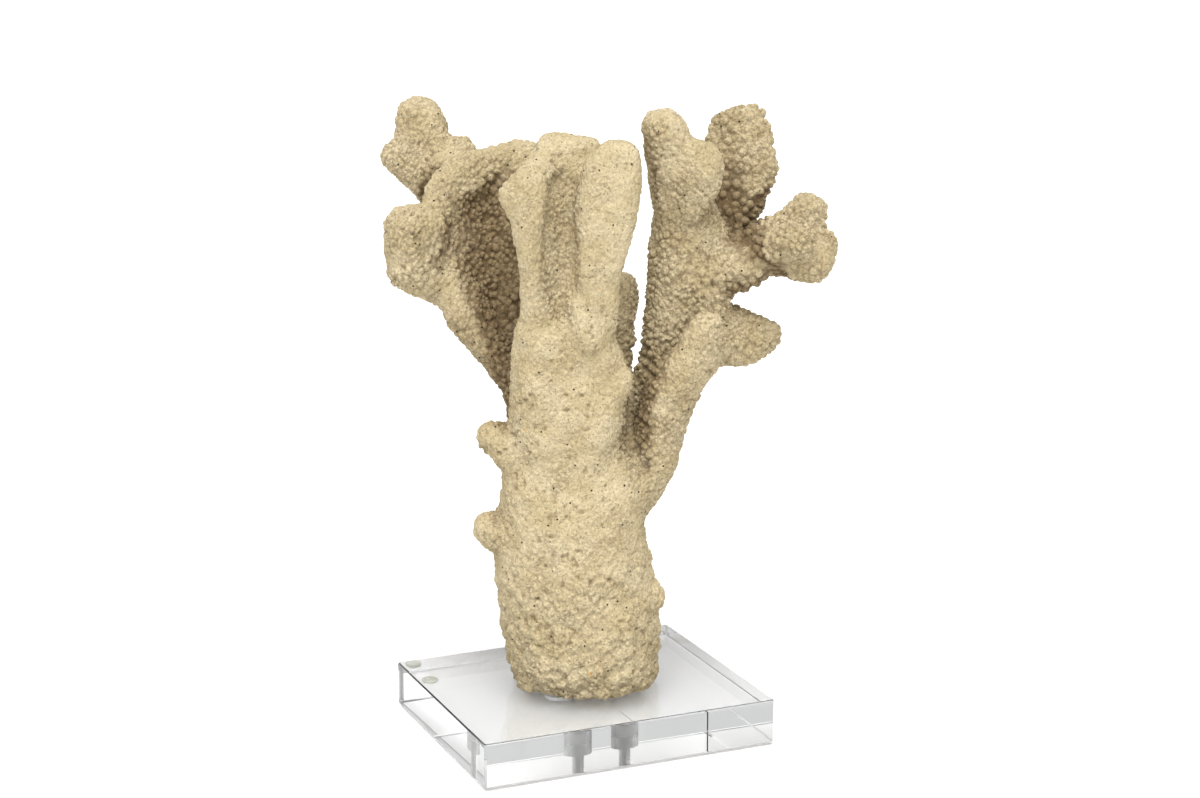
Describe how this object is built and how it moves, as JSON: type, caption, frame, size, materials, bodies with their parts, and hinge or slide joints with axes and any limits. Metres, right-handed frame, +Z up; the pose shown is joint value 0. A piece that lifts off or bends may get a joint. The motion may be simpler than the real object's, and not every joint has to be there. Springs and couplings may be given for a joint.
{
  "type": "branching coral on a clear stand",
  "caption": "Upright branching coral with flattened, granular branches, screwed to a clear rectangular block on small pads.",
  "frame": {"origin": "on the surface the object stands on, under the middle of its bounding box", "axes": "+Z up along the coral, +X to the right along the block's long side, +Y to its back"},
  "size_m": [0.2394, 0.1772, 0.359],
  "materials": {
    "coral": "dry, sandy and granular, matt",
    "clear_acrylic": "polished, see-through",
    "screw_steel": "dull, slightly browned",
    "bumper_pad": "soft, clear, slightly yellowed"
  },
  "bodies": {
    "root": {"acrylic_base": "clear_acrylic", "screw_left": "screw_steel", "screw_right": "screw_steel", "bumper_front_left": "bumper_pad", "bumper_front_right": "bumper_pad", "bumper_back_left": "bumper_pad", "bumper_back_right": "bumper_pad", "trunk": "coral", "front_plate": "coral", "front_twin_finger": "coral", "front_long_finger": "coral", "left_fan": "coral", "far_left_branch": "coral", "middle_finger": "coral", "right_limb": "coral", "upper_mitten": "coral", "back_paddle": "coral", "right_antler": "coral", "lower_right_paddle": "coral", "thumb": "coral"}
  },
  "joints": []
}
